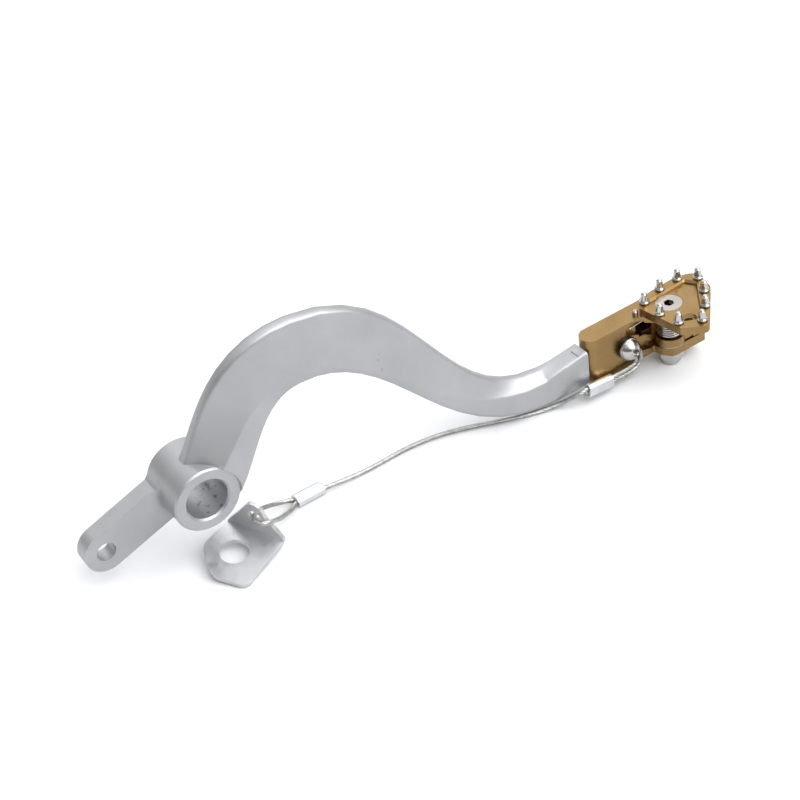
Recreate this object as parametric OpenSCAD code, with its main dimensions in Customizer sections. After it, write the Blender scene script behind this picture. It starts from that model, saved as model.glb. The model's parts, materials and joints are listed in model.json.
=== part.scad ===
// Rear brake pedal with a folding, sprung toe tip and a snake cable.
// Millimetres. The origin is the middle of the pivot bore. X runs forward to the
// toe tip, Y along the bore towards the engine, Z up and square to the tread.

/* [Hub] */
// Outside diameter of the hub
hub_d = 28.8; // [27:0.2:32]
// Diameter of the pivot bore
bore_d = 18; // [15:0.5:19]
// Length of the hub along the bore
hub_len = 25; // [23:0.5:28]
// Bevel at each mouth of the bore
bore_bevel = 0.8; // [0.3:0.1:1.2]
// How far the arm's root stands proud of the hub's outer face
root_proud = 1.6; // [1:0.2:2.4]

/* [Arm] */
// Forward distance from the bore to the crown of the arch
crown_x = 48; // [44:1:52]
// Height of the arm's middle line at the crown
crown_z = 48; // [44:1:52]
// Forward distance from the bore to the bottom of the belly
belly_x = 157; // [152:1:160]
// Depth of the arm's middle line at the belly
belly_drop = 23.4; // [21:0.2:26]
// Width of the arm where it leaves the hub
root_w = 24; // [22:1:26]
// Width of the arm half way up its rise
rise_w = 26; // [24:1:28]
// Width of the arm at the crown
crown_w = 30.5; // [28:0.5:33]
// Width of the arm half way down its slope
slope_w = 20; // [19:0.5:24]
// Width of the arm at the belly
belly_w = 15.5; // [14:0.5:18]
// Width of the arm at the clevis
tip_w = 17.5; // [16:0.5:17.5]
// Thickness of the arm at the crown
arm_t = 7.5; // [6.5:0.5:9]
// Thickness of the arm at the clevis
tip_t = 9; // [8:0.2:9.4]
// Rounding of the arm's long edges
edge_r = 2.4; // [1.6:0.2:3]

/* [Short lever] */
// Distance from the bore to the push rod hole
lever_reach = 43.4; // [40:0.2:48]
// Angle of the short lever below the level
lever_angle = 23.7; // [20:0.5:28]
// Thickness of the short lever
lever_t = 7.5; // [6:0.5:9]
// Diameter of the rounded end of the short lever
lever_end_d = 18.6; // [17:0.2:22]
// Width of the short lever where it meets the hub
lever_root_w = 19; // [18.6:0.2:24]
// Diameter of the push rod hole
rod_hole_d = 8.4; // [6.4:0.2:9]
// Rounding between the short lever's face and the hub
lever_fillet = 5; // [3:0.5:6]

/* [Clevis] */
// Forward distance from the bore to the toe tip's pivot
pivot_x = 219; // [215:1:225]
// Distance of the toe tip's pivot outboard of the middle of the hub
pivot_out = 18; // [16:0.5:20]
// Depth of the clevis' top face below the bore
clevis_drop = 6.6; // [6.2:0.1:7]
// Inward yaw of the clevis and the toe tip
tip_yaw = 4; // [2:0.5:6]
// Length of the clevis from its rear face to the pivot
clevis_len = 41.5; // [39:0.5:44]
// Thickness of the clevis
clevis_t = 10; // [9.8:0.2:11.4]
// Height of the clevis
clevis_h = 22; // [21.8:0.2:25]
// Set back of the clevis' outer face from the pivot
face_back = 3.2; // [3:0.2:4]
// Thickness of the clevis' web above the tongue
web_t = 4.9; // [4.5:0.1:5]
// Thickness of the lower prong
prong_t = 4.5; // [4:0.1:5]
// Radius of the upper prong round the pivot
prong_r = 7; // [6.8:0.1:7.2]
// Thickness of the arm's tongue
tongue_t = 4.4; // [4:0.1:5]

/* [Toe tip] */
// Thickness of the tread plate
tread_t = 3.8; // [3.6:0.1:4]
// Depth of the recess in the tread plate
recess = 1.5; // [1.2:0.1:1.6]
// Gap between the tread plate and the clevis' top
tread_gap = 0.3; // [0.2:0.1:0.6]
// Thickness of the toe tip's lower lug
lug_t = 3.8; // [3.4:0.1:4.2]
// Height of the studs above the tread
stud_h = 5.4; // [4.6:0.2:6]
// Diameter of the studs at their collar
stud_d = 4.4; // [3.8:0.1:4.6]

/* [Pivot and spring] */
// Diameter of the pivot screw and of the clevis bolt
screw_d = 6; // [5.6:0.1:6]
// Diameter of the pivot screw's countersunk head
head_d = 11.6; // [11:0.2:12]
// Wire diameter of the return spring
spring_wire = 1.1; // [0.9:0.1:1.1]
// Outside diameter of the return spring
spring_d = 11.6; // [11.2:0.1:12]
// Turns of the return spring
spring_turns = 8; // [5:1:8]

/* [Clevis bolt] */
// Distance of the clevis bolt behind the pivot
bolt_back = 21.5; // [21.5:0.1:22.5]
// Height of the clevis bolt above the bottom of the clevis
bolt_up = 10.4; // [10:0.2:10.8]
// Diameter of the clevis bolt's round head
button_d = 9.8; // [9.2:0.2:10.4]
// Width across the flats of both nuts
nut_w = 10; // [9:0.5:10]

/* [Snake cable] */
// Diameter of the wire rope
cable_d = 2; // [1.6:0.1:2]
// Length of each crimped ferrule
ferrule_len = 13; // [10:0.5:13]

/* [Anchor tab] */
// Thickness of the anchor tab
tab_t = 1.8; // [1.4:0.2:2.2]
// Diameter of the anchor tab's bolt hole
tab_hole_d = 12.2; // [10:0.2:13]

/* [Hidden] */
$fn = 64;
LITTLE = 0.01;
RUN = 0.05;   // running clearance of a shaft in its hole, on the radius
GAP = 0.3;    // clearance between faces that slide past each other
STUD_PLACES = [[-8.9, 5.5], [2.2, 8.5], [12.4, 8.9], [19.4, 3.5], [15.1, -5.4],
               [8.4, -13.8], [0.6, -20.7], [-7.6, -15.2], [-9.3, -5.1]];
STUDS = len(STUD_PLACES);

SATIN = "#c6c9cd";
GOLD = "#b9935a";
STEEL = "#b8b6b2";
DARK_STEEL = "#7d7b78";

// Levels of the tip, from the tread down
clevis_top = -clevis_drop;
clevis_bottom = clevis_top - clevis_h;
tread_bottom = clevis_top + tread_gap;
tread_top = tread_bottom + tread_t;
recess_floor = tread_top - recess;
upper_prong_t = 3;
upper_prong_bottom = clevis_top - upper_prong_t;
lower_prong_top = clevis_bottom + prong_t;
pivot_washer_t = 0.6;
lug_bottom = lower_prong_top + pivot_washer_t;
lug_top = lug_bottom + lug_t;
sleeve_r = screw_d / 2 + 0.9;
lug_r = sleeve_r + 2.4;
nut_h = 5.6;
sink = min((head_d - screw_d) / 2, tread_t - recess - 0.6);   // depth of the screw head's cone
bolt_z = clevis_bottom + bolt_up;
web_bottom = clevis_top - web_t;
face_mid = face_back + clevis_t / 2;
clevis_washer_t = 1;
button_h = 3.3;
button_seat = face_back - clevis_washer_t - cable_d - 0.15;

// Value at s on a table of [s, value] rows, joined by smooth curves
function law(table, s) =
    let (k = max([for (i = [0:len(table) - 2]) if (i == 0 || s >= table[i][0]) i]),
         a = table[max(k - 1, 0)], b = table[k], c = table[k + 1],
         d = table[min(k + 2, len(table) - 1)],
         h = c[0] - b[0], u = (s - b[0]) / h,
         m0 = (c[1] - a[1]) / (c[0] - a[0]), m1 = (d[1] - b[1]) / (d[0] - b[0]))
    (2*u*u*u - 3*u*u + 1) * b[1] + (u*u*u - 2*u*u + u) * h * m0
    + (3*u*u - 2*u*u*u) * c[1] + (u*u*u - u*u) * h * m1;

function unit(v) = v / norm(v);
function bezier(p, t) =
    pow(1 - t, 3) * p[0] + 3 * pow(1 - t, 2) * t * p[1]
    + 3 * (1 - t) * t * t * p[2] + t * t * t * p[3];
function bezier_way(p, t) =
    unit(3 * pow(1 - t, 2) * (p[1] - p[0]) + 6 * (1 - t) * t * (p[2] - p[1])
         + 3 * t * t * (p[3] - p[2]));

// Corner b of the path a, b, c rounded by an arc of n + 1 points
function round_corner(a, b, c, r, n) =
    let (u = unit(a - b), v = unit(c - b),
         room = 0.48 * min(norm(a - b), norm(c - b)),
         half = acos(max(-1, min(1, u * v))) / 2,
         reach = min(room, r / max(tan(half), 0.001)),
         p = b + u * reach, q = b + v * reach)
    [for (i = [0:n]) let (t = i / n)
        (1 - t) * (1 - t) * p + 2 * t * (1 - t) * b + t * t * q];

// Closed outline with a radius at each corner: rows of [x, y, radius]
function rounded(rows, n = 6) =
    let (k = len(rows))
    [for (i = [0:k - 1]) let (a = rows[(i + k - 1) % k], b = rows[i], c = rows[(i + 1) % k])
        each round_corner([a[0], a[1]], [b[0], b[1]], [c[0], c[1]], b[2], n)];

// Solid through rings that all have the same number of points
module loft(rings) {
    n = len(rings[0]);
    last = len(rings) - 1;
    walls = [for (i = [0:last - 1], j = [0:n - 1])
        let (k = (j + 1) % n, a = i * n, b = (i + 1) * n)
        each [[a + j, b + k, b + j], [a + j, a + k, b + k]]];
    polyhedron(
        points = [for (ring = rings) each ring],
        faces = concat(walls,
            [[for (j = [n - 1:-1:0]) j]],
            [[for (j = [0:n - 1]) last * n + j]]),
        convexity = 8);
}

// Directions across a path, carried along it without twisting
function carry(path, i = 0, side = [0, 0, 0], out = []) =
    i == len(path) ? out :
    let (way = unit(path[min(i + 1, len(path) - 1)] - path[max(i - 1, 0)]),
         start = abs(way[2]) < 0.9 ? [0, 0, 1] : [0, 1, 0],
         raw = i == 0 ? start : side,
         flat = unit(raw - way * (raw * way)))
    carry(path, i + 1, flat, concat(out, [[flat, cross(way, flat)]]));

// Round wire or cable of radius r along a path
module wire(path, r, sides) {
    across = carry(path);
    loft([for (i = [0:len(path) - 1])
        [for (k = [0:sides - 1]) let (a = -360 * k / sides)
            path[i] + r * (cos(a) * across[i][0] + sin(a) * across[i][1])]]);
}

// Cylinder along Y from y = 0 to y = h
module along_y(r, h, r2 = -1) {
    rotate([-90, 0, 0]) cylinder(r1 = r, r2 = r2 < 0 ? r : r2, h = h);
}

// The tip's own frame: the pivot's axis, yawed with the clevis
module at_tip() {
    translate([pivot_x, -pivot_out, 0]) rotate([0, 0, tip_yaw]) children();
}
function tip_point(p) =
    [pivot_x + p[0] * cos(tip_yaw) - p[1] * sin(tip_yaw),
     -pivot_out + p[0] * sin(tip_yaw) + p[1] * cos(tip_yaw), p[2]];

module hexagon(width, h) {
    cylinder(d = width / cos(30), h = h, $fn = 6);
}

// The arm: one forging, lofted along its middle line
end_rise = 10;       // slope of the arm where it meets the clevis
run_on = 4;          // how far the loft runs on into the clevis before it is cut
shoulder = tip_point([-clevis_len, face_mid, clevis_bottom + tip_w / 2]);
arm_end = [shoulder[0] + run_on, shoulder[2] + run_on * tan(end_rise)];
crown = [crown_x, crown_z];
belly = [belly_x, -belly_drop];
root_way = 31;       // slope of the middle line inside the hub
level = [1, 0];
stretches = [
    [[0, 0], 16 * [cos(root_way), sin(root_way)], crown - 32 * level, crown],
    [crown, crown + 50 * level, belly - 51 * level, belly],
    [belly, belly + 8 * level, arm_end - 8 * [cos(end_rise), sin(end_rise)], arm_end]];

tip_front = shoulder[1] - tip_t / 2;
tip_back = shoulder[1] + tip_t / 2;
root_front = -hub_len / 2 - root_proud;
crown_front = -12;
crown_back = crown_front + arm_t;
// Each law runs from the hub (0) over the crown (1) and the belly (2) to the tip (3)
WIDTH = [[0, root_w], [0.5, rise_w], [1, crown_w], [1.5, slope_w], [2, belly_w], [3, tip_w]];
OUTER_BACK = [[0, 3], [0.5, 0.5], [1, crown_back], [1.5, crown_back + 0.3], [2, -5], [3, tip_back]];
OUTER_FRONT = [[0, -3], [0.5, -4.6], [1, crown_front + 1.2], [1.5, crown_front + 1.2],
               [2, -9], [3, tip_back - 0.8]];
RIDGE = [[0, root_front], [0.5, -13.4], [1, crown_front], [1.5, crown_front - 0.3],
         [2, -14.8], [3, tip_front]];
INNER_FRONT = [[0, root_front], [0.5, -13], [1, crown_front + 0.9], [1.5, crown_front + 0.3],
               [2, -14.8], [3, tip_front]];
INNER_BACK = [[0, 8], [0.5, 2], [1, crown_back], [1.5, crown_back], [2, -6], [3, tip_back]];
RIDGE_UP = [[0, 0.64], [0.5, 0.4], [1, 0.15], [1.5, 0.16], [2, 0.82], [2.4, 1], [3, 1]];

function arm_ring(s) =
    let (k = min(2, floor(s)), t = s - k,
         mid = bezier(stretches[k], t), way = bezier_way(stretches[k], t),
         up = [-way[1], way[0]], w = law(WIDTH, s),
         rise = min(1, max(0, law(RIDGE_UP, s))) - 0.5,
         rows = [[w / 2, law(OUTER_BACK, s), edge_r],
                 [-w / 2, law(INNER_BACK, s), edge_r],
                 [-w / 2, law(INNER_FRONT, s), edge_r],
                 [w * rise, law(RIDGE, s), edge_r],
                 [w / 2, law(OUTER_FRONT, s), edge_r]])
    [for (p = rounded(rows, 4)) [mid[0] + up[0] * p[0], p[1], mid[1] + up[1] * p[0]]];

// Outline of the short lever, seen from outboard, as [x, z]
lever_eye = lever_reach * [-cos(lever_angle), -sin(lever_angle)];
lever_axis = unit(lever_eye);
lever_side = [lever_axis[1], -lever_axis[0]];
lever_root = [0, -2];   // the lever's root sits a little below the hub's middle
module lever_outline() {
    a = lever_end_d / 2;
    b = lever_root_w / 2;
    translate(lever_eye) circle(r = a);
    polygon([lever_eye + a * lever_side, lever_eye - a * lever_side,
             lever_root - b * lever_side, lever_root + b * lever_side]);
    lever_corner(1, lever_fillet + 3);
    lever_corner(-1, lever_fillet + 3);
}
// Hollow corner between the lever's upper (1) or lower (-1) edge and the hub
module lever_corner(side, f) {
    b = lever_root_w / 2;
    taper = (lever_root_w - lever_end_d) / 2 / lever_reach;
    hub_at = [-lever_root * lever_axis, -lever_root * lever_side];
    high = side * (b + f - taper * lever_reach * 0.4) - hub_at[1];
    along = sqrt(pow(hub_d / 2 + f, 2) - high * high);
    middle = lever_root + (hub_at[0] + along) * lever_axis + (hub_at[1] + high) * lever_side;
    difference() {
        polygon([middle * hub_d / (hub_d + 2 * f), middle - side * (f + 0.2) * lever_side,
                 lever_root + 4 * lever_axis]);
        translate(middle) circle(r = f);
    }
}

module lever() {
    back = hub_len / 2;
    front = back - lever_t;
    // A plate square to the bore, as thick as the lever
    rotate([90, 0, 0]) translate([0, 0, -back]) linear_extrude(lever_t) lever_outline();
    // Hollow blend from the lever's face up to the hub
    intersection() {
        translate([0, front + LITTLE, 0]) rotate([90, 0, 0]) rotate_extrude()
            difference() {
                translate([hub_d / 2 - 1, 0]) square([lever_fillet + 1, lever_fillet]);
                translate([hub_d / 2 + lever_fillet, lever_fillet]) circle(r = lever_fillet);
            }
        rotate([90, 0, 0]) translate([0, 0, -front - 1]) linear_extrude(lever_fillet + 2)
            lever_outline();
    }
}

module tongue() {
    low = clevis_bottom + 0.3;
    at_tip() translate([-clevis_len - 4, face_mid - tongue_t / 2, low])
        cube([clevis_len + 4 - bolt_back + 6, tongue_t, web_bottom - 0.2 - low]);
}

module pedal_arm() color(SATIN) difference() {
    union() {
        difference() {
            loft([for (i = [0:42]) arm_ring(i / 14)]);
            // Square shoulder against the clevis
            at_tip() translate([-clevis_len, -20, -60]) cube([60, 60, 80]);
            // Spot face round the hub's outer end
            translate([0, -hub_len / 2 - 20, 0]) along_y(hub_d / 2, 20);
        }
        translate([0, -hub_len / 2, 0]) {
            along_y(hub_d / 2 - 0.7, 0.7, hub_d / 2);
            translate([0, 0.7 - LITTLE, 0]) along_y(hub_d / 2, hub_len - 0.7 + LITTLE);
        }
        lever();
        tongue();
    }
    translate([0, -hub_len, 0]) along_y(bore_d / 2, 2 * hub_len);
    for (side = [-1, 1])
        translate([0, side * hub_len / 2, 0]) rotate([0, 0, side < 0 ? 0 : 180])
            translate([0, -LITTLE, 0])
                along_y(bore_d / 2 + bore_bevel + LITTLE, bore_bevel + LITTLE, bore_d / 2);
    translate([lever_eye[0], hub_len / 2 - lever_t - 1, lever_eye[1]])
        along_y(rod_hole_d / 2, lever_t + 2);
    at_tip() translate([-bolt_back, 0, bolt_z]) along_y(screw_d / 2 + 0.15, 20);
}

// The clevis: a milled block whose two prongs carry the toe tip's pivot
body_past = 3;       // how far the clevis' body runs past the pivot
mouth_depth = 2.4;
module mouth_outline() {
    polygon(rounded([
        [-21.6, -8.6, 2], [-17.6, -7.6, 3], [-9.5, upper_prong_bottom, 2],
        [12, upper_prong_bottom, 0.1], [12, -21, 0.1], [-5, -20.6, 2], [-11, -17, 6],
        [-16.6, -14.4, 4], [-21.4, -12.7, 2]]));
}
module tip_clevis() color(GOLD) at_tip() difference() {
    union() {
        // Body with a round rear end
        translate([-clevis_len + clevis_t / 2, face_back, clevis_bottom])
            cube([clevis_len - clevis_t / 2 + body_past, clevis_t, clevis_h]);
        translate([-clevis_len + clevis_t / 2, face_mid, clevis_bottom])
            cylinder(d = clevis_t, h = clevis_h);
        // Upper prong
        translate([0, 0, upper_prong_bottom]) cylinder(r = prong_r, h = upper_prong_t);
        translate([0, 0, upper_prong_bottom]) linear_extrude(upper_prong_t)
            polygon([[-13, face_back], [-5, -4.9], [6.9, 0], [5, 5],
                     [body_past, face_back + clevis_t], [-13, face_back + clevis_t]]);
        // Lower prong
        translate([0, 0, clevis_bottom]) linear_extrude(prong_t)
            polygon(rounded([[-13, face_back + 0.5, 0.1], [-6.6, face_back, 1.2],
                             [-5.4, -1.4, 4], [-2.4, -5.2, 2.5], [15.4, -5.2, 0.8], [15, 8, 5],
                             [5, face_back + clevis_t, 6], [-13, face_back + clevis_t, 0.1]]));
    }
    // Room for the spring and the toe tip's lug
    translate([0, 0, lower_prong_top]) cylinder(r = 8.2, h = upper_prong_bottom - lower_prong_top);
    // Mouth for the spring's leg, shallow beside the tongue and deep beyond it
    translate([0, face_back + mouth_depth, 0]) rotate([90, 0, 0])
        linear_extrude(mouth_depth + 1) mouth_outline();
    translate([-bolt_back + 7.1, face_back - 1, -16.6])
        cube([12, 8, upper_prong_bottom + 16.6]);
    // Pocket milled below the mouth
    translate([0, face_back + 2.2, 0]) rotate([90, 0, 0]) linear_extrude(8)
        polygon(rounded([[-16, -18.9, 1.5], [-11.5, -19.8, 3], [-7, -22.4, 1], [-5, -22.8, 0.1],
                         [-2, -22.8, 0.1], [-2, lower_prong_top, 0.1], [-8.4, -25.6, 1.5],
                         [-16, -24, 1.5]]));
    // Slot for the arm's tongue, open below and behind
    translate([-clevis_len - 10, face_mid - tongue_t / 2 - 0.1, clevis_bottom - 1])
        cube([clevis_len + 10 - bolt_back + 7, tongue_t + 0.2, clevis_h - web_t + 1]);
    // Pivot holes and the clevis bolt's hole
    translate([0, 0, clevis_bottom - 1]) cylinder(r = screw_d / 2 + RUN, h = clevis_h + 2);
    translate([-bolt_back, face_back - 1, bolt_z]) along_y(screw_d / 2 + RUN, clevis_t + 2);
    translate([STOP[0], STOP[1], clevis_top - STOP_SUNK]) cylinder(r = stop_r, h = 4);
}

// Stop pin that the toe tip's corner rests against
STOP = [-13.5, 6.2];
STOP_SUNK = 2;       // how deep the pin is pressed into the clevis
stop_r = 1.3;
stop_up = 2.2;       // how far the pin stands up from the clevis
module stop_pin() color(STEEL) at_tip()
    translate([STOP[0], STOP[1], clevis_top - STOP_SUNK]) {
        high = STOP_SUNK + stop_up - 0.5;
        cylinder(r = stop_r, h = high);
        translate([0, 0, high - LITTLE]) cylinder(r1 = stop_r, r2 = stop_r - 0.5, h = 0.5);
    }

// The bolt that holds the clevis and the cable's loop
module clevis_bolt() color(STEEL) at_tip() translate([-bolt_back, 0, bolt_z]) difference() {
    bolt_end = face_back + clevis_t + nut_h + 1;
    union() {
        // Round head: a dome cut from a sphere
        intersection() {
            ball = (pow(button_d / 2, 2) + button_h * button_h) / (2 * button_h);
            translate([0, button_seat - button_h + ball, 0]) sphere(r = ball);
            translate([0, button_seat - button_h, 0]) along_y(button_d / 2, button_h);
        }
        translate([0, button_seat - LITTLE, 0]) along_y(screw_d / 2, bolt_end - button_seat);
    }
    translate([0, button_seat - button_h - 1, 0]) rotate([-90, 0, 0]) hexagon(4, 3.2);
}

module clevis_washer() color(DARK_STEEL) at_tip()
    translate([-bolt_back, face_back - clevis_washer_t, bolt_z]) difference() {
        along_y(button_d / 2 + 0.2, clevis_washer_t);
        translate([0, -1, 0]) along_y(screw_d / 2 + RUN, clevis_washer_t + 2);
    }

// Lock nut: hexagon with a round collar that holds the nylon ring
module lock_nut() difference() {
    union() {
        intersection() {
            hexagon(nut_w, nut_h * 0.72);
            translate([0, 0, -nut_w / 4]) cylinder(r1 = nut_w * 0.8, r2 = nut_w * 0.52, h = nut_h);
        }
        cylinder(d = nut_w * 0.86, h = nut_h * 0.94);
        cylinder(d = nut_w * 0.74, h = nut_h);
    }
    translate([0, 0, -1]) cylinder(r = screw_d / 2 + RUN, h = nut_h + 2);
}
module clevis_nut() color(STEEL) at_tip()
    translate([-bolt_back, face_back + clevis_t, bolt_z]) rotate([-90, 0, 0]) lock_nut();
module pivot_nut() color(STEEL) at_tip()
    translate([0, 0, clevis_bottom]) mirror([0, 0, 1]) lock_nut();

// Countersunk pivot screw
module pivot_bolt() color(STEEL) at_tip() difference() {
    union() {
        translate([0, 0, recess_floor - 0.3]) cylinder(d = head_d, h = 0.3);
        translate([0, 0, recess_floor - 0.3 - sink + LITTLE])
            cylinder(d1 = screw_d, d2 = head_d, h = sink);
        translate([0, 0, clevis_bottom - nut_h])
            cylinder(d = screw_d, h = recess_floor - 1 - clevis_bottom + nut_h);
    }
    translate([0, 0, recess_floor - 2]) hexagon(4, 3);
}

module pivot_sleeve() color(DARK_STEEL) at_tip() difference() {
    translate([0, 0, lower_prong_top]) cylinder(r = sleeve_r, h = upper_prong_bottom - lower_prong_top);
    translate([0, 0, lower_prong_top - 1]) cylinder(r = screw_d / 2 + RUN, h = 30);
}

module pivot_washer() color(DARK_STEEL) at_tip() difference() {
    translate([0, 0, lower_prong_top]) cylinder(r = lug_r - 0.3, h = pivot_washer_t - RUN);
    translate([0, 0, lower_prong_top - 1]) cylinder(r = sleeve_r + RUN, h = 3);
}

// Toe tip: tread plate, web and lower lug, milled as one C
TREAD = [[-8.8, 9.4, 3], [-12.9, 3.8, 1.5], [-9.5, -18.9, 1.5], [0.3, -25.8, 4.1],
         [19.4, -4.8, 6], [21.9, 7.6, 6], [13, 10.8, 8], [0, 10.2, 8]];
RECESS = [[-7.2, 4.9, 1.6], [13.9, 6.3, 1.6], [16.6, 1.8, 1.6], [1.7, -18.8, 1.6],
          [-5.4, -14.8, 1.6]];
RECESS_MIDDLE = [4.5, -3.5];
BEVEL = 0.9;         // bevel along the recess' upper edge
WEB = [[8.5, 4, 0.8], [12.7, 4, 1.2], [14.6, 0, 2], [14.6, -5.3, 1], [8.5, -5.3, 0.6]];
function widened(p, by) = RECESS_MIDDLE + (p - RECESS_MIDDLE) * by;
module toe_tip() color(GOLD) at_tip() difference() {
    union() {
        translate([0, 0, tread_bottom]) linear_extrude(tread_t) polygon(rounded(TREAD));
        // Web that joins the tread to the lug, outside the upper prong
        translate([0, 0, lug_bottom]) linear_extrude(tread_bottom - lug_bottom + LITTLE)
            polygon(rounded(WEB));
        // Lower lug and its neck
        translate([0, 0, lug_bottom]) cylinder(r = lug_r, h = lug_t);
        translate([0, 0, lug_bottom]) linear_extrude(lug_t)
            polygon([[1, lug_r], [9.5, 4], [9.5, -4.4], [3, -4.4]]);
    }
    translate([0, 0, recess_floor]) linear_extrude(10) polygon(rounded(RECESS));
    loft([for (k = [0, 1, 1.5])
        [for (p = rounded(RECESS, 4)) let (q = widened(p, 1 + k * BEVEL / 13))
            [q[0], q[1], tread_top + BEVEL * (k - 1)]]]);
    // Countersunk hole for the pivot screw
    translate([0, 0, tread_bottom - 1]) cylinder(r = screw_d / 2 + RUN, h = 10);
    translate([0, 0, recess_floor - 0.3 - sink])
        cylinder(r1 = screw_d / 2 + 0.1, r2 = head_d / 2 + 0.1, h = sink);
    translate([0, 0, recess_floor - 0.3 - LITTLE]) cylinder(r = head_d / 2 + 0.1, h = 6);
    translate([0, 0, lug_bottom - 1]) cylinder(r = sleeve_r + RUN, h = lug_t + 2);
    // Mud hole at the outboard end of the recess
    translate([-0.7, -14.2, tread_bottom - 1]) cylinder(r = 3, h = 10);
    for (p = STUD_PLACES)
        translate([p[0], p[1], tread_top - 2.4]) cylinder(d = stud_d - 1.9, h = 4);
}

// One stud: pressed shank, flared collar and a barrel with a round top
module stud(i) color(STEEL) at_tip()
    translate([STUD_PLACES[i - 1][0], STUD_PLACES[i - 1][1], tread_top]) {
        translate([0, 0, -2.3]) cylinder(d = stud_d - 1.9, h = 2.5);
        cylinder(d1 = stud_d - 0.6, d2 = stud_d, h = 0.5);
        translate([0, 0, 0.5 - LITTLE]) cylinder(d = stud_d, h = 0.5);
        translate([0, 0, 1 - 2 * LITTLE]) cylinder(d1 = stud_d, d2 = stud_d * 0.76, h = 0.8);
        translate([0, 0, 1.8 - 3 * LITTLE])
            cylinder(d1 = stud_d * 0.76, d2 = stud_d * 0.58, h = stud_h - 2.5);
        translate([0, 0, stud_h - 0.7 - 4 * LITTLE])
            cylinder(d1 = stud_d * 0.58, d2 = stud_d * 0.34, h = 0.7);
    }

// Return spring: close coils round the sleeve, one leg in the mouth, one at the web
coil_r = (spring_d - spring_wire) / 2;
coil_low = lug_top + 0.15 + spring_wire / 2;
coil_turns = spring_turns - 0.75;
coil_pitch = (upper_prong_bottom - 0.35 - spring_wire / 2 - coil_low) / coil_turns;
spring_steps = 20;
leg_z = coil_low + coil_pitch * coil_turns;
spring_path = concat(
    [[coil_r, -0.5 * spring_d, coil_low], [coil_r, -0.26 * spring_d, coil_low]],
    [for (i = [0:coil_turns * spring_steps])
        let (a = 360 * i / spring_steps)
        [coil_r * cos(a), coil_r * sin(a), coil_low + coil_pitch * i / spring_steps]],
    [[-0.345 * spring_d, coil_r, leg_z],
     [-1.03 * spring_d, coil_r - 0.2, leg_z], [-bolt_back + 2.2, face_back + 0.9, leg_z]]);
module return_spring() color(STEEL) at_tip() wire(spring_path, spring_wire / 2, 8);

// Anchor tab: a stamped plate with one edge bent up into an ear
TAB_PLACE = [5.8, -13.9, -29.4];   // middle of the bolt hole, on the plate's top
tab_tilt = 10;       // the plate leans on its near corner
tab_turn = -57.4;    // direction of the bent edge
bend_back = 13.2;    // from the middle of the hole to the bend
eye_up = 9;          // height of the cable's hole in the ear
eye_along = 2.5;
TAB = [[-10.2, bend_back, 0.6], [15.2, bend_back, 0.6], [13, -13.8, 4], [-2.2, -14.6, 7],
       [-13.6, -2.6, 8]];
EAR = [[-10.2, -tab_t, 0.3], [15.2, -tab_t, 0.3], [15.2, 0.5, 1], [7.5, 9, 5], [4.8, 15.4, 3.6],
       [-0.2, 15.4, 3.6], [-4.5, 8.5, 5], [-10.2, 0.5, 1]];
function turned(p, a) = [p[0] * cos(a) - p[1] * sin(a), p[0] * sin(a) + p[1] * cos(a), p[2]];
function tilted(p, a) = [p[0], p[1] * cos(a) - p[2] * sin(a), p[1] * sin(a) + p[2] * cos(a)];
function tab_point(p) = TAB_PLACE + tilted(turned(p, tab_turn), tab_tilt);
module anchor_tab() color(STEEL)
    translate(TAB_PLACE) rotate([tab_tilt, 0, 0]) rotate([0, 0, tab_turn]) difference() {
        union() {
            translate([0, 0, -tab_t]) linear_extrude(tab_t) polygon(rounded(TAB));
            translate([0, bend_back + tab_t - LITTLE, 0]) rotate([90, 0, 0])
                linear_extrude(tab_t) polygon(rounded(EAR));
        }
        translate([0, 0, -5]) cylinder(d = tab_hole_d, h = 10);
        translate([eye_along, bend_back - 2, eye_up]) along_y(2.6, 6);
    }

// Each crimp: where the ferrule starts, where it points to and which way its two
// strands lie side by side
CABLE_Y = 1.1;       // middle of the cable's loop, inboard of the pivot
STRANDS = 2.12;      // distance between the strands inside a ferrule
FRONT_CRIMP = [tip_point([-45.5, CABLE_Y - 0.3, -27.75]), tip_point([-32.5, CABLE_Y - 0.3, -28.9]),
               [0, 0, 1]];
REAR_CRIMP = [[54.6, 1.3, -32.1], [41.6, 0.5, -32.1], [0, 1, 0]];
function crimp_way(c) = unit(c[1] - c[0]);
function crimp_side(c) = unit(c[2] - crimp_way(c) * (c[2] * crimp_way(c)));
function strand(c, side, d) = c[0] + crimp_way(c) * d + crimp_side(c) * side * STRANDS / 2;

// Loop through the ear's hole and back over its sloping edge, in the tab's own frame
REAR_LOOP = [[9, 32, -3.9], [8.9, 27.6, -2], [9.4, 23.4, 0.8], [10.2, 19.6, 4.2],
    [10.5, 16, 7.2], [9.9, 13, 9.1], [8.4, 11, 9.8], [6.2, 10.3, 9.8], [4, 10.9, 9.8],
    [2.8, 12.6, 9.6], [2.3, 15.4, 8.7], [1.6, 18.2, 6.8], [1, 21.6, 3.8], [0.8, 25.4, 0.8],
    [1.6, 29.6, -1.9], [3.2, 33.4, -3.8], [5, 36, -4.6]];

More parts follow.
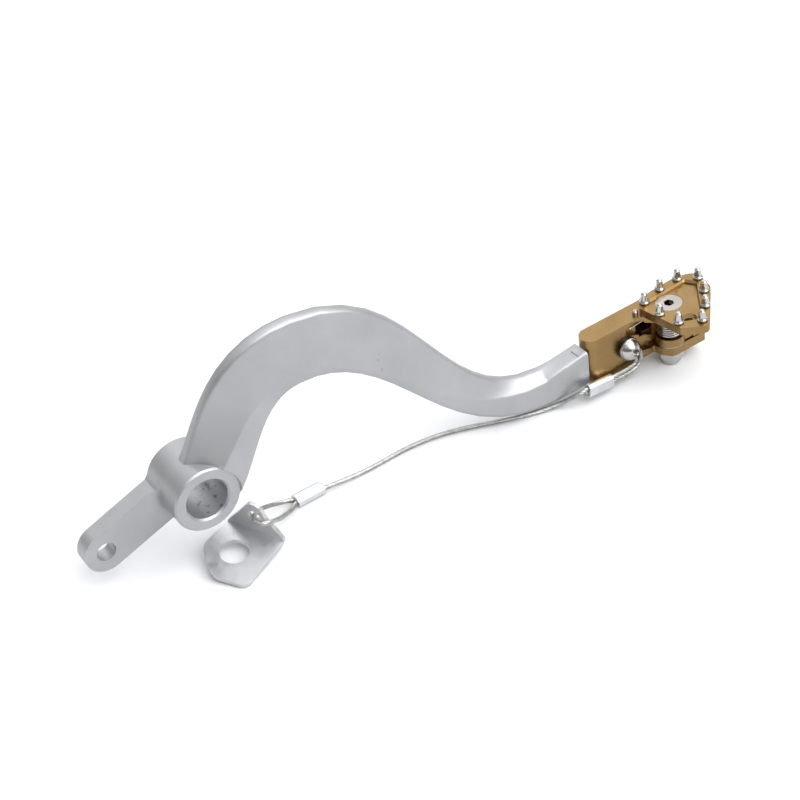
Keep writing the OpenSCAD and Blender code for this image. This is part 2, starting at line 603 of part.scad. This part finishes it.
// Route of the snake cable: crimped end, round the clevis bolt, back through the
// front ferrule, along the ground to the rear ferrule, through the tab's ear and back
FRONT_LOOP = [[-29, -30.1], [-26, -30.3], [-23.2, -30.25], [-20.6, -29.8], [-18.3, -28.8],
    [-16.6, -27.2], [-15.8, -25.3], [-15.8, -23.4], [-16.3, -21.6], [-16.9, -19.8],
    [-17.2, -18], [-17.8, -16], [-19.3, -14.5], [-21.4, -13.9], [-23.5, -14.4],
    [-25.1, -15.9], [-25.8, -18], [-25.3, -20.1], [-23.9, -21.7], [-22.2, -22.5],
    [-20.5, -22.9], [-19.1, -23.8], [-18.6, -25.2], [-19.2, -26.4], [-20.7, -27.2],
    [-22.7, -27.6], [-25.5, -27.85], [-29, -27.9]];
CABLE_ROUTE = concat(
    [strand(FRONT_CRIMP, -1, -1.2)],
    [for (d = [0, 6.5, 13]) strand(FRONT_CRIMP, -1, d)],
    [for (p = FRONT_LOOP) tip_point([p[0], CABLE_Y, p[1]])],
    [for (d = [13, 6.5, 0]) strand(FRONT_CRIMP, 1, d)],
    [[171, -20.5, -26.9], [168.4, -19.6, -28], [166, -18.1, -29.6], [163.4, -16.4, -31.2],
     [160, -14.9, -32.2], [155.5, -13.7, -32.9], [150, -12.1, -33.2], [144, -10.2, -33.3],
     [137, -7.6, -33.3], [129, -4.5, -33.3], [121, -1.6, -33.3], [112, 0.7, -33.3],
     [102, 1.8, -33.3], [92, 1.7, -33.3], [82, 0.7, -33.3], [72, 0.1, -33.1],
     [64, 0, -32.6], [58, 0.2, -32.2]],
    [for (d = [0, 6.5, 13]) strand(REAR_CRIMP, -1, d)],
    [for (p = REAR_LOOP) tab_point(p)],
    [for (d = [13, 6.5, 0]) strand(REAR_CRIMP, 1, d)],
    [strand(REAR_CRIMP, 1, -1.2)]);
module snake_cable() color(STEEL) wire(CABLE_ROUTE, cable_d / 2, 8);

// Ferrule: a crimped oval sleeve over both strands
module ferrule(c) {
    way = crimp_way(c);
    side = crimp_side(c);
    third = cross(way, side);
    bore = cable_d / 2 + 0.04;
    wall = cable_d / 2 + 1.2;
    multmatrix([[side[0], third[0], way[0], c[0][0]], [side[1], third[1], way[1], c[0][1]],
                [side[2], third[2], way[2], c[0][2]], [0, 0, 0, 1]])
        linear_extrude(ferrule_len) difference() {
            union() {
                for (s = [-1, 1]) translate([s * STRANDS / 2, 0]) circle(r = wall);
                square([STRANDS, 2 * wall], center = true);
            }
            for (s = [-1, 1]) translate([s * STRANDS / 2, 0]) circle(r = bore);
        }
}
module front_ferrule() color(STEEL) ferrule(FRONT_CRIMP);
module rear_ferrule() color(STEEL) ferrule(REAR_CRIMP);

pedal_arm();
tip_clevis();
clevis_bolt();
clevis_washer();
clevis_nut();
toe_tip();
pivot_bolt();
pivot_sleeve();
pivot_washer();
pivot_nut();
return_spring();
stop_pin();
snake_cable();
front_ferrule();
rear_ferrule();
anchor_tab();
for (i = [1:STUDS]) stud(i);
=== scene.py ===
# %% [markdown]
# # Dressing a rear brake pedal
#
# A rear brake pedal is a forged alloy arm that turns on a pivot. This one ends in a
# gold anodised toe tip that folds on a spring, and it trails a steel snake cable that
# keeps stones and sticks from lifting it. The solids come from a CAD model, packed as
# a fixed frame. This lesson gives them soft edges and real finishes, lays the cable as
# twisted rope, and lights the whole as a studio picture. Every length is in metres.

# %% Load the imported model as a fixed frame
import json
import math

import bpy
from mathutils import Matrix, Vector


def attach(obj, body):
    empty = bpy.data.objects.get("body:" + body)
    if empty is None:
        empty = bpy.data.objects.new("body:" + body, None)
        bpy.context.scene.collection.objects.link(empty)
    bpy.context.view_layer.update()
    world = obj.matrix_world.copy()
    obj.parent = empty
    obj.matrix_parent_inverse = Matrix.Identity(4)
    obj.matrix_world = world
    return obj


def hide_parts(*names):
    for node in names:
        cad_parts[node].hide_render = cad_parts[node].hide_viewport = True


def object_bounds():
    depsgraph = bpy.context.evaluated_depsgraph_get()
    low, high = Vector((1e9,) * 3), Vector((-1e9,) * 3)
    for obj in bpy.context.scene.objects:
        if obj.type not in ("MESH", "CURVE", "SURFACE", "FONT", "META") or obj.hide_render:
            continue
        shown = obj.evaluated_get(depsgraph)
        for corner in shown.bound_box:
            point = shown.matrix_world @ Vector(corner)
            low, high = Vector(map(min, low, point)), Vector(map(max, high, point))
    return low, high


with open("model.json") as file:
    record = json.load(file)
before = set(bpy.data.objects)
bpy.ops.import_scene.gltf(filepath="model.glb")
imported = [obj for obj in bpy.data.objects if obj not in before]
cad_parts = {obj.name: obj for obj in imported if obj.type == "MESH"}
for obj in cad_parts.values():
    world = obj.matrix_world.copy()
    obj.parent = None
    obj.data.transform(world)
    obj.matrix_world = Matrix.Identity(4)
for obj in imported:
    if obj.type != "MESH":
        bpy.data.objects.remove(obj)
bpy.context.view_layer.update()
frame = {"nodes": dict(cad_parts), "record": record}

MM = 0.001

# %% [markdown]
# ## The camera
#
# The picture was taken from a little above and to the left of the pedal's outer side.
# The camera's two side directions were worked out from round and square features, such
# as the bore's ellipse. They are written here, and the third is their cross product.
# A long lens, about 100 mm, keeps the far tip nearly as large as the near hub.

# %% Place the camera
VIEW_FROM = Vector((-227.3, -645.6, 555.6)) * MM
VIEW_RIGHT = Vector((0.849, -0.518, -0.108)).normalized()
VIEW_UP = Vector((0.394, 0.483, 0.782))
LENS = 100

view_back = VIEW_RIGHT.cross(VIEW_UP).normalized()
view_up = view_back.cross(VIEW_RIGHT)
camera_data = bpy.data.cameras.new("camera")
camera_data.lens = LENS
camera_data.sensor_width = 36
camera_data.clip_start = 0.01
camera = bpy.data.objects.new("camera", camera_data)
turn = Matrix((VIEW_RIGHT, view_up, view_back)).transposed().to_4x4()
camera.matrix_world = Matrix.Translation(VIEW_FROM) @ turn
bpy.context.scene.collection.objects.link(camera)
bpy.context.scene.camera = camera
bpy.context.scene.view_settings.view_transform = "Standard"
print("camera distance:", round(VIEW_FROM.length, 3))

# %% [markdown]
# ## The snake cable
#
# A snake cable is 2 mm wire rope with a crimped loop at each end. One loop holds to the
# clevis bolt, the other holds the anchor tab. The route repeats the CAD model's points.
# A curve could be a plain tube, but a rope's strands catch the light, so its profile is
# a ring with six lobes, and the curve's tilt turns it once in every lay of the strands.

# %% Places that the route starts from
PIVOT = Vector((219, -18, 0))      # the toe tip's pivot
TIP_YAW = math.radians(4)
TAB_PLACE = Vector((5.8, -13.9, -29.4))
TAB_TILT = math.radians(10)
TAB_TURN = math.radians(-57.4)
CABLE_Y = 1.1
STRANDS = 2.12                     # distance between the strands in a ferrule
FERRULE = 13
CABLE_D = 2

tip_frame = Matrix.Translation(PIVOT) @ Matrix.Rotation(TIP_YAW, 4, "Z")
tab_frame = (Matrix.Translation(TAB_PLACE) @ Matrix.Rotation(TAB_TILT, 4, "X")
             @ Matrix.Rotation(TAB_TURN, 4, "Z"))
front_crimp = (tip_frame @ Vector((-45.5, CABLE_Y - 0.3, -27.75)),
               tip_frame @ Vector((-32.5, CABLE_Y - 0.3, -28.9)), Vector((0, 0, 1)))
rear_crimp = (Vector((54.6, 1.3, -32.1)), Vector((41.6, 0.5, -32.1)), Vector((0, 1, 0)))


def strand(crimp, side, along):
    """A point on one of the two strands in a ferrule."""
    way = (crimp[1] - crimp[0]).normalized()
    across = (crimp[2] - way * crimp[2].dot(way)).normalized()
    return crimp[0] + way * along + across * side * STRANDS / 2


# %% The route, from the cut end in the front ferrule to the one in the rear ferrule
FRONT_LOOP = [
    (-29, -30.1), (-26, -30.3), (-23.2, -30.25), (-20.6, -29.8), (-18.3, -28.8), (-16.6, -27.2),
    (-15.8, -25.3), (-15.8, -23.4), (-16.3, -21.6), (-16.9, -19.8), (-17.2, -18), (-17.8, -16),
    (-19.3, -14.5), (-21.4, -13.9), (-23.5, -14.4), (-25.1, -15.9), (-25.8, -18),
    (-25.3, -20.1), (-23.9, -21.7), (-22.2, -22.5), (-20.5, -22.9), (-19.1, -23.8),
    (-18.6, -25.2), (-19.2, -26.4), (-20.7, -27.2), (-22.7, -27.6), (-25.5, -27.85),
    (-29, -27.9)]
GROUND = [
    (171, -20.5, -26.9), (168.4, -19.6, -28), (166, -18.1, -29.6), (163.4, -16.4, -31.2),
    (160, -14.9, -32.2), (155.5, -13.7, -32.9), (150, -12.1, -33.2), (144, -10.2, -33.3),
    (137, -7.6, -33.3), (129, -4.5, -33.3), (121, -1.6, -33.3), (112, 0.7, -33.3),
    (102, 1.8, -33.3), (92, 1.7, -33.3), (82, 0.7, -33.3), (72, 0.1, -33.1),
    (64, 0, -32.6), (58, 0.2, -32.2)]
REAR_LOOP = [
    (9, 32, -3.9), (8.9, 27.6, -2), (9.4, 23.4, 0.8), (10.2, 19.6, 4.2), (10.5, 16, 7.2),
    (9.9, 13, 9.1), (8.4, 11, 9.8), (6.2, 10.3, 9.8), (4, 10.9, 9.8), (2.8, 12.6, 9.6),
    (2.3, 15.4, 8.7), (1.6, 18.2, 6.8), (1, 21.6, 3.8), (0.8, 25.4, 0.8), (1.6, 29.6, -1.9),
    (3.2, 33.4, -3.8), (5, 36, -4.6)]

inward = [0, FERRULE / 2, FERRULE]
route = [strand(front_crimp, -1, -1.2)]
route += [strand(front_crimp, -1, d) for d in inward]
route += [tip_frame @ Vector((x, CABLE_Y, z)) for x, z in FRONT_LOOP]
route += [strand(front_crimp, 1, d) for d in reversed(inward)]
route += [Vector(p) for p in GROUND]
route += [strand(rear_crimp, -1, d) for d in inward]
route += [tab_frame @ Vector(p) for p in REAR_LOOP]
route += [strand(rear_crimp, 1, d) for d in reversed(inward)]
route += [strand(rear_crimp, 1, -1.2)]
route = [p * MM for p in route]
steps = [(b - a).length for a, b in zip(route, route[1:])]
cable_length = sum(steps)
print("cable points:", len(route), "length:", round(cable_length, 4))

# %% [markdown]
# The rope's own outline is small: a circle whose radius dips six times, between the
# strands. It is drawn once, and the route's curve sweeps it. Poly splines follow the
# points exactly, so the rope stays where the CAD tube is.

# %% Sweep the rope
LOBES = 6
LAY = 11 * MM                      # length in which the strands go once round


def lobed_ring(name, radius, dip, points):
    """A closed outline with one dip between each two strands."""
    data = bpy.data.curves.new(name, "CURVE")
    spline = data.splines.new("POLY")
    spline.points.add(points - 1)
    spline.use_cyclic_u = True
    for i, point in enumerate(spline.points):
        a = 2 * math.pi * i / points
        r = radius * (1 - dip * (1 - abs(math.sin(LOBES * a / 2))) ** 1.5)
        point.co = (r * math.cos(a), r * math.sin(a), 0, 1)
    ring = bpy.data.objects.new(name, data)
    bpy.context.scene.collection.objects.link(ring)
    return ring


def rounder(points, between):
    """More points on the same way, so that the sweep shows no corners."""
    out = []
    for i in range(len(points) - 1):
        p0, p1, p2 = points[max(i - 1, 0)], points[i], points[i + 1]
        p3 = points[min(i + 2, len(points) - 1)]
        for k in range(between):
            t = k / between
            out.append(0.5 * ((2 * p1) + (p2 - p0) * t + (2 * p0 - 5 * p1 + 4 * p2 - p3) * t * t
                              + (3 * p1 - p0 - 3 * p2 + p3) * t ** 3))
    return out + [points[-1]]


fine_route = rounder(route, 5)
ring = lobed_ring("rope_outline", CABLE_D / 2 * MM, 0.2, 6 * LOBES)
rope_data = bpy.data.curves.new("rope", "CURVE")
rope_data.dimensions = "3D"
rope_data.twist_mode = "MINIMUM"
rope_data.bevel_mode = "OBJECT"
rope_data.bevel_object = ring
rope_data.use_fill_caps = True
spline = rope_data.splines.new("POLY")
spline.points.add(len(fine_route) - 1)
run = 0
for i, point in enumerate(spline.points):
    if i:
        run += (fine_route[i] - fine_route[i - 1]).length
    point.co = (*fine_route[i], 1)
    point.tilt = 2 * math.pi * run / LAY
rope_curve = bpy.data.objects.new("rope_curve", rope_data)
bpy.context.scene.collection.objects.link(rope_curve)


def pick(*objects):
    """Selects these objects alone and makes the first one active."""
    bpy.ops.object.select_all(action="DESELECT")
    for item in objects:
        item.select_set(True)
    bpy.context.view_layer.objects.active = objects[0]


pick(rope_curve)
bpy.ops.object.convert(target="MESH")
rope = bpy.context.view_layer.objects.active
rope.name = "snake_rope"
bpy.ops.object.shade_smooth()
bpy.data.objects.remove(ring)
print("rope faces:", len(rope.data.polygons), "run:", round(run, 4))

# %% [markdown]
# ## Soft edges
#
# Machined and forged edges are never sharp: a small round catches a line of light, and
# that line is most of what tells metal from plastic. Each CAD mesh is loose triangles.
# A copy is welded, its flat triangles are joined into whole faces, and then a bevel
# finds real edges by their angle. Smooth shading by angle keeps flats flat.

# %% A copy of a CAD node with softened edges
BODY_OF = {node: body for body, nodes in frame["record"]["behaviour"]["bodies"].items()
           for node in nodes}


def welded_copy(node, flat=0.5):
    """A copy of a CAD node, with its triangles welded and its flats made whole."""
    piece = bpy.data.objects.new("fine_" + node, frame["nodes"][node].data.copy())
    bpy.context.scene.collection.objects.link(piece)
    pick(piece)
    bpy.ops.object.mode_set(mode="EDIT")
    bpy.ops.mesh.select_all(action="SELECT")
    bpy.ops.mesh.remove_doubles(threshold=0.004 * MM)
    bpy.ops.mesh.dissolve_limited(angle_limit=math.radians(flat))
    bpy.ops.object.mode_set(mode="OBJECT")
    return piece


def soften(piece, width, angle=32, rounds=2, smooth=32):
    """Rounds the real edges of a welded piece and shades it."""
    pick(piece)
    bevel = piece.modifiers.new("edges", "BEVEL")
    bevel.width = width * MM
    bevel.segments = rounds
    bevel.limit_method = "ANGLE"
    bevel.angle_limit = math.radians(angle)
    bevel.miter_outer = "MITER_ARC"
    bevel.harden_normals = False
    bpy.ops.object.modifier_apply(modifier="edges")
    bpy.ops.object.shade_smooth_by_angle(angle=math.radians(smooth))
    weigh = piece.modifiers.new("shading", "WEIGHTED_NORMAL")
    weigh.keep_sharp = True
    bpy.ops.object.modifier_apply(modifier="shading")


def stand_for(piece, node, material):
    """Lets the piece take the node's place, on the node's body."""
    piece.data.materials.clear()
    piece.data.materials.append(material)
    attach(piece, BODY_OF[node])
    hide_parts(node)


# %% [markdown]
# ## Metals, as node materials
#
# All the finishes here are bare or anodised metal, so one recipe serves them: a metallic
# base whose colour, roughness and height vary with noise on Object coordinates. What
# differs is the scale of the grain, which is 0.1 to 1 mm on blasted alloy and far
# finer on turned steel. Each material is then built on by its own cell.


# %% The shared recipe
def link(tree, start, end):
    tree.links.new(start, end)


def noise(tree, scale, detail=3, stretch=(1, 1, 1)):
    """Noise on Object coordinates: its output is a value of about 0.3 to 0.7."""
    place = tree.nodes.new("ShaderNodeTexCoord")
    mapping = tree.nodes.new("ShaderNodeMapping")
    mapping.inputs["Scale"].default_value = stretch
    texture = tree.nodes.new("ShaderNodeTexNoise")
    texture.inputs["Scale"].default_value = scale
    texture.inputs["Detail"].default_value = detail
    link(tree, place.outputs["Object"], mapping.inputs["Vector"])
    link(tree, mapping.outputs["Vector"], texture.inputs["Vector"])
    return texture.outputs["Fac"]


def spread(tree, value, low, high, start=0.3, end=0.7):
    """The value, stretched from start..end to low..high."""
    node = tree.nodes.new("ShaderNodeMapRange")
    node.inputs["From Min"].default_value = start
    node.inputs["From Max"].default_value = end
    node.inputs["To Min"].default_value = low
    node.inputs["To Max"].default_value = high
    link(tree, value, node.inputs["Value"])
    return node.outputs["Result"]


def blend_colours(tree, factor, dark, light):
    """A mix of two colours; each is a tuple or another node's output."""
    node = tree.nodes.new("ShaderNodeMix")
    node.data_type = "RGBA"
    for socket, colour in (("A", dark), ("B", light)):
        slot = [s for s in node.inputs if s.name == socket and s.type == "RGBA"][0]
        if isinstance(colour, tuple):
            slot.default_value = (*colour, 1)
        else:
            link(tree, colour, slot)
    link(tree, factor, node.inputs["Factor"])
    return [s for s in node.outputs if s.type == "RGBA"][0]


def metal(name, dark, light, rough, grain, height, metallic=1.0, patch=60):
    """A metal: two close colours in patches, a range of roughness and a fine grain."""
    material = bpy.data.materials.new(name)
    material.use_nodes = True
    tree = material.node_tree
    shader = tree.nodes["Principled BSDF"]
    shader.inputs["Metallic"].default_value = metallic
    patches = noise(tree, patch, 4)
    link(tree, blend_colours(tree, spread(tree, patches, 0, 1), dark, light),
         shader.inputs["Base Color"])
    grains = noise(tree, grain, 2)
    link(tree, spread(tree, grains, *rough), shader.inputs["Roughness"])
    bump = tree.nodes.new("ShaderNodeBump")
    bump.inputs["Strength"].default_value = 1
    bump.inputs["Distance"].default_value = height * MM
    link(tree, grains, bump.inputs["Height"])
    link(tree, bump.outputs["Normal"], shader.inputs["Normal"])
    return material


# %% Steels, crimps and the gold alloy
polished_steel = metal("polished_steel", (0.55, 0.54, 0.52), (0.66, 0.65, 0.63),
                       (0.14, 0.24), 4000, 0.004)
plated_steel = metal("plated_steel", (0.42, 0.38, 0.35), (0.55, 0.50, 0.47),
                     (0.28, 0.4), 3000, 0.006)
rope_steel = metal("rope_steel", (0.38, 0.37, 0.35), (0.60, 0.59, 0.57),
                   (0.26, 0.4), 2500, 0.01, patch=400)
crimp_alloy = metal("crimp_alloy", (0.68, 0.69, 0.71), (0.80, 0.81, 0.83),
                    (0.28, 0.4), 900, 0.02, patch=200)
gold_alloy = metal("gold_alloy", (0.31, 0.195, 0.078), (0.37, 0.24, 0.105),
                   (0.26, 0.36), 2600, 0.006)
black_steel = metal("black_steel", (0.05, 0.05, 0.052), (0.09, 0.09, 0.092),
                    (0.34, 0.46), 3000, 0.006)
print("materials so far:", len(bpy.data.materials))

# %% [markdown]
# ## The arm's finish
#
# The forging is bead blasted and painted silver, so it has an even satin face. Two
# things break it: the bore was left as cast, darker and pitted, and the crown carries
# three short scuffs where something dragged along it. Both are found by their place
# in the part's own coordinates: the bore by its distance from the pivot's axis.

# %% Satin arm with its rough bore
BORE_R = 9 * MM
satin_alloy = metal("satin_alloy", (0.44, 0.445, 0.45), (0.49, 0.495, 0.50),
                    (0.40, 0.50), 1400, 0.02, metallic=0.85)


def bore_mask(tree):
    """1 on the bore's wall, 0 outside it."""
    place = tree.nodes.new("ShaderNodeTexCoord")
    flatten = tree.nodes.new("ShaderNodeVectorMath")
    flatten.operation = "MULTIPLY"
    flatten.inputs[1].default_value = (1, 0, 1)
    reach = tree.nodes.new("ShaderNodeVectorMath")
    reach.operation = "LENGTH"
    link(tree, place.outputs["Object"], flatten.inputs[0])
    link(tree, flatten.outputs["Vector"], reach.inputs[0])
    return spread(tree, reach.outputs["Value"], 1, 0, BORE_R * 1.01, BORE_R * 1.03)


tree = satin_alloy.node_tree
shader = tree.nodes["Principled BSDF"]
mask = bore_mask(tree)
pits = noise(tree, 420, 5)
cast = blend_colours(tree, spread(tree, pits, 0, 1, 0.32, 0.44),
                     (0.24, 0.24, 0.25), (0.47, 0.475, 0.49))
satin = shader.inputs["Base Color"].links[0].from_socket
finish = blend_colours(tree, mask, satin, cast)

# %% Three short scuffs across the crown's face
SCUFFS = [(82.9, 31.1, 1.1), (82.2, 28.3, 1.2), (83.2, 23.2, 2)]    # x, z and length
for x, z, length in SCUFFS:
    place = tree.nodes.new("ShaderNodeTexCoord")
    centred = tree.nodes.new("ShaderNodeMapping")
    centred.vector_type = "TEXTURE"
    centred.inputs["Location"].default_value = (x * MM, -13 * MM, z * MM)
    centred.inputs["Rotation"].default_value = (0, math.radians(-80), 0)
    centred.inputs["Scale"].default_value = (length * MM / 2, 3 * MM, 0.55 * MM)
    reach = tree.nodes.new("ShaderNodeVectorMath")
    reach.operation = "LENGTH"
    link(tree, place.outputs["Object"], centred.inputs["Vector"])
    link(tree, centred.outputs["Vector"], reach.inputs[0])
    scuff = spread(tree, reach.outputs["Value"], 0.85, 0, 0.5, 1.1)
    finish = blend_colours(tree, scuff, finish, (0.30, 0.30, 0.31))
link(tree, finish, shader.inputs["Base Color"])
print("scuffs:", len(SCUFFS))

# %% [markdown]
# ## Dressing the hard pieces
#
# The widths of the edge rounds differ: a forging has generous ones, a milled clevis has
# a third of a millimetre, and small screws have a tenth.

# %% Arm, clevis and toe tip
arm = welded_copy("pedal_arm")
soften(arm, 0.5, angle=40, rounds=3, smooth=40)
stand_for(arm, "pedal_arm", satin_alloy)
for node, width in (("tip_clevis", 0.32), ("toe_tip", 0.28)):
    piece = welded_copy(node)
    soften(piece, width)
    stand_for(piece, node, gold_alloy)
print("arm faces:", len(arm.data.polygons))

# %% Screws, nuts, washers, studs and the pin
STUDS = sorted(node for node in frame["nodes"] if node.startswith("stud_"))
for node in ["clevis_bolt", "clevis_nut", "pivot_nut"] + STUDS:
    piece = welded_copy(node)
    soften(piece, 0.14)
    stand_for(piece, node, polished_steel)
for node in ("pivot_bolt", "pivot_sleeve", "pivot_washer", "stop_pin"):
    piece = welded_copy(node)
    soften(piece, 0.1)
    stand_for(piece, node, plated_steel)
washer = welded_copy("clevis_washer")
soften(washer, 0.1)
stand_for(washer, "clevis_washer", black_steel)

# %% Ferrules
for node in ("front_ferrule", "rear_ferrule"):
    piece = welded_copy(node)
    soften(piece, 0.3)
    stand_for(piece, node, crimp_alloy)

# %% [markdown]
# ## The return spring
#
# The CAD coil is an eight-sided tube of triangles. Welded and turned back into four-sided
# faces, it subdivides into a round wire along the same helix.

# %% Round off the spring's wire
spring = welded_copy("return_spring", flat=0.01)
pick(spring)
bpy.ops.object.mode_set(mode="EDIT")
bpy.ops.mesh.select_all(action="SELECT")
SAME_FACE = math.radians(60)       # triangles that meet flatter than this become one
bpy.ops.mesh.tris_convert_to_quads(face_threshold=SAME_FACE, shape_threshold=SAME_FACE)
bpy.ops.object.mode_set(mode="OBJECT")
rounds = spring.modifiers.new("rounds", "SUBSURF")
rounds.levels = rounds.render_levels = 2
bpy.ops.object.modifier_apply(modifier="rounds")
bpy.ops.object.shade_smooth()
stand_for(spring, "return_spring", polished_steel)
print("spring faces:", len(spring.data.polygons))

# %% [markdown]
# ## The anchor tab
#
# The tab is punched from stainless sheet and lies on the ground, so its face is rubbed
# and scratched. The scratches are noise that is stretched a long way in one direction.

# %% Scuffed steel for the tab
scuffed_steel = metal("scuffed_steel", (0.64, 0.64, 0.65), (0.76, 0.76, 0.77),
                      (0.3, 0.46), 300, 0.02)
tree = scuffed_steel.node_tree
shader = tree.nodes["Principled BSDF"]
scratches = noise(tree, 160, 3, stretch=(1, 9, 4))
rub = shader.inputs["Base Color"].links[0].from_socket
marks = spread(tree, scratches, 0, 1, 0.66, 0.76)
link(tree, blend_colours(tree, marks, rub, (0.36, 0.36, 0.37)), shader.inputs["Base Color"])
tab = welded_copy("anchor_tab")
soften(tab, 0.3)
stand_for(tab, "anchor_tab", scuffed_steel)

stand_for(rope, "snake_cable", rope_steel)

# %% [markdown]
# ## Floor and light
#
# The picture's ground is plain white, with a faint soft shadow under the part. A bright
# patch above and behind the camera lights it, as a softbox does. The rest of the sky
# grows brighter upwards and to the right, with a little more low at the back.
#
# The sky and the floor are white to the camera alone. Every other ray, reflections too,
# sees the shaded sky and a slightly darker floor, so metal doesn't show the white
# ground that the camera sees.

# %% A white floor that keeps the shadow
floor_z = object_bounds()[0][2]
bpy.ops.mesh.primitive_plane_add(size=6, location=(0.1, 0, floor_z - 0.05 * MM))
floor = bpy.context.view_layer.objects.active
floor.name = "floor"
TO_CAMERA = (0.86, 0.865, 0.87)
TO_OTHER_RAYS = (0.7, 0.7, 0.705)
paper = bpy.data.materials.new("paper")
paper.use_nodes = True
tree = paper.node_tree
shader = tree.nodes["Principled BSDF"]
straight = tree.nodes.new("ShaderNodeLightPath").outputs["Is Camera Ray"]
link(tree, blend_colours(tree, straight, TO_OTHER_RAYS, TO_CAMERA), shader.inputs["Base Color"])
shader.inputs["Roughness"].default_value = 0.9
floor.data.materials.append(paper)
print("floor at", round(floor_z, 5))

# %% The sky and its bright patch
world = bpy.data.worlds.new("studio")
world.use_nodes = True
bpy.context.scene.world = world
tree = world.node_tree
sky = tree.nodes["Background"]
place = tree.nodes.new("ShaderNodeTexCoord")
split = tree.nodes.new("ShaderNodeSeparateXYZ")
link(tree, place.outputs["Generated"], split.inputs["Vector"])
above = spread(tree, split.outputs["Z"], 0.3, 1.7, 0.3, 0.9)
aside = spread(tree, split.outputs["X"], 0.5, 1.3, -0.6, 0.7)
SOFTBOX = Vector((0.3, -0.62, 0.72)).normalized()      # above and behind the camera
facing = tree.nodes.new("ShaderNodeVectorMath")
facing.operation = "DOT_PRODUCT"
facing.inputs[1].default_value = SOFTBOX
link(tree, place.outputs["Generated"], facing.inputs[0])
panel = spread(tree, facing.outputs["Value"], 0, 2.8, 0.80, 0.95)
behind = spread(tree, split.outputs["Y"], 0, 0.3, 0.1, 0.7)
glow = tree.nodes.new("ShaderNodeMath")
glow.operation = "MULTIPLY_ADD"
link(tree, above, glow.inputs[0])
link(tree, aside, glow.inputs[1])
link(tree, panel, glow.inputs[2])
whole = tree.nodes.new("ShaderNodeMath")
whole.operation = "ADD"
link(tree, glow.outputs["Value"], whole.inputs[0])
link(tree, behind, whole.inputs[1])
rays = tree.nodes.new("ShaderNodeLightPath")
seen = tree.nodes.new("ShaderNodeMix")
link(tree, rays.outputs["Is Camera Ray"], seen.inputs[0])
link(tree, whole.outputs["Value"], seen.inputs[2])
seen.inputs[3].default_value = 1                      # white
link(tree, seen.outputs[0], sky.inputs["Strength"])
sky.inputs["Color"].default_value = (0.97, 0.985, 1, 1)
